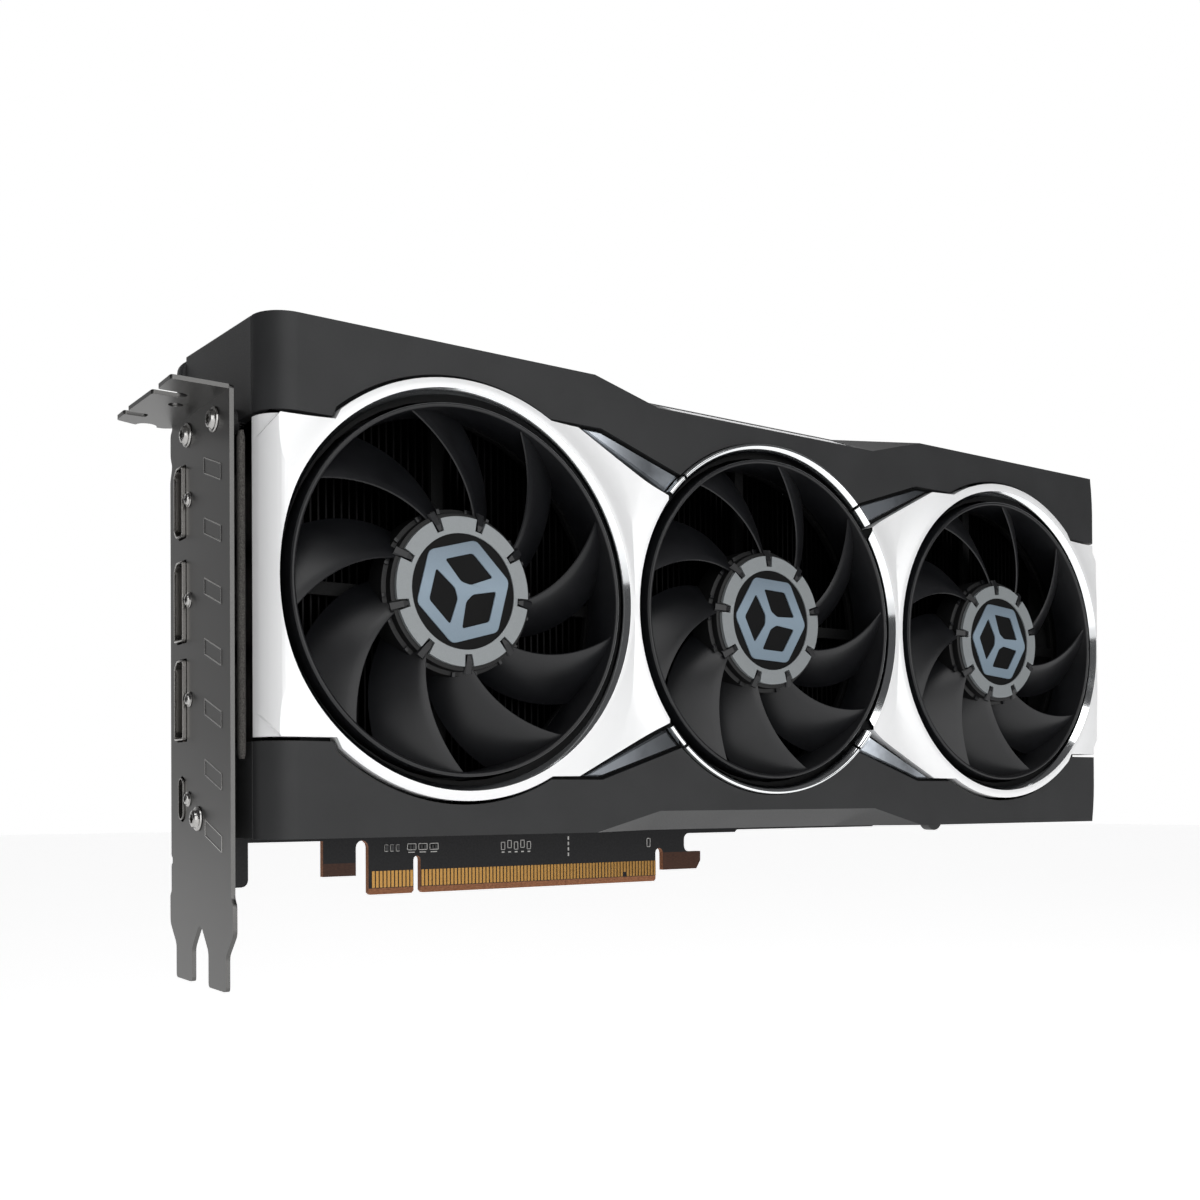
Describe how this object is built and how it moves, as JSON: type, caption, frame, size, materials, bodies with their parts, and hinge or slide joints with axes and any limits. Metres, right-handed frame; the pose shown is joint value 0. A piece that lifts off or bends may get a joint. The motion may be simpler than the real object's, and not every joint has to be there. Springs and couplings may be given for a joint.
{
  "type": "graphics card",
  "caption": "Graphics card with a row of fans, a slot bracket, charcoal covers, bright panels and an edge connector",
  "frame": {"origin": "outer face of the slot bracket, at the component face of the circuit board and the bottom edge of the edge connector", "axes": "+X runs from the bracket along the card's length to its far end, +Y points from the fan side to the backplate, +Z points from the edge connector to the top edge"},
  "size_m": [0.279, 0.0511, 0.136],
  "materials": {
    "charcoal": "matte moulded",
    "dark_plastic": "matte",
    "black_plastic": "satin",
    "silver_panel": "satin",
    "chrome_trim": "polished",
    "clear_light_bar": "translucent",
    "steel_grey": "satin",
    "copper": "bare",
    "aluminium": "bare",
    "nickel": "plated",
    "bracket_steel": "plated",
    "board_black": "solder mask",
    "gold": "plated",
    "foam": "matte"
  },
  "bodies": {
    "card": {"upper_cover": "charcoal", "lower_cover": "charcoal", "upper_housing": "charcoal", "lower_housing": "charcoal", "backplate": "charcoal", "shroud_frame": "dark_plastic", "memory_chip_1": "black_plastic", "memory_chip_2": "black_plastic", "memory_chip_3": "black_plastic", "memory_chip_4": "black_plastic", "memory_chip_5": "black_plastic", "memory_chip_6": "black_plastic", "memory_chip_7": "black_plastic", "memory_chip_8": "black_plastic", "power_socket_1": "black_plastic", "power_socket_2": "black_plastic", "left_panel": "silver_panel", "right_panel": "silver_panel", "wing_upper_left": "chrome_trim", "wing_upper_right": "chrome_trim", "wing_lower_left": "chrome_trim", "wing_lower_right": "chrome_trim", "rim_arc_upper": "chrome_trim", "rim_arc_lower": "chrome_trim", "light_bar": "clear_light_bar", "gpu_package": "steel_grey", "power_inductor_1": "steel_grey", "power_inductor_2": "steel_grey", "fan_motor_1": "copper", "fan_motor_2": "copper", "fan_motor_3": "copper", "vapour_chamber": "copper", "fin_stack": "aluminium", "retention_frame": "nickel", "retention_screw_1": "nickel", "retention_screw_2": "nickel", "retention_screw_3": "nickel", "retention_screw_4": "nickel", "video_socket_upper": "nickel", "video_socket_middle": "nickel", "video_socket_lower": "nickel", "data_socket": "nickel", "bracket_screw_1": "nickel", "bracket_screw_2": "nickel", "bracket_screw_3": "nickel", "port_screw_1": "nickel", "port_screw_2": "nickel", "port_screw_3": "nickel", "port_screw_4": "nickel", "bracket": "bracket_steel", "circuit_board": "board_black", "contact_strip_short": "gold", "contact_strip_long": "gold", "foam_strip": "foam"},
    "fan_1": {"fan_rotor_1": "black_plastic", "hub_badge_1": "steel_grey"},
    "fan_2": {"fan_rotor_2": "black_plastic", "hub_badge_2": "steel_grey"},
    "fan_3": {"fan_rotor_3": "black_plastic", "hub_badge_3": "steel_grey"}
  },
  "joints": [
    {"name": "fan_1_spin", "type": "hinge", "parent": "card", "child": "fan_1", "pos_m": [0.0482, -0.0346, 0.0664], "axis": [0, 1, 0], "continuous": true},
    {"name": "fan_2_spin", "type": "hinge", "parent": "card", "child": "fan_2", "pos_m": [0.1353, -0.0346, 0.0664], "axis": [0, 1, 0], "continuous": true},
    {"name": "fan_3_spin", "type": "hinge", "parent": "card", "child": "fan_3", "pos_m": [0.2224, -0.0346, 0.0664], "axis": [0, 1, 0], "continuous": true}
  ]
}
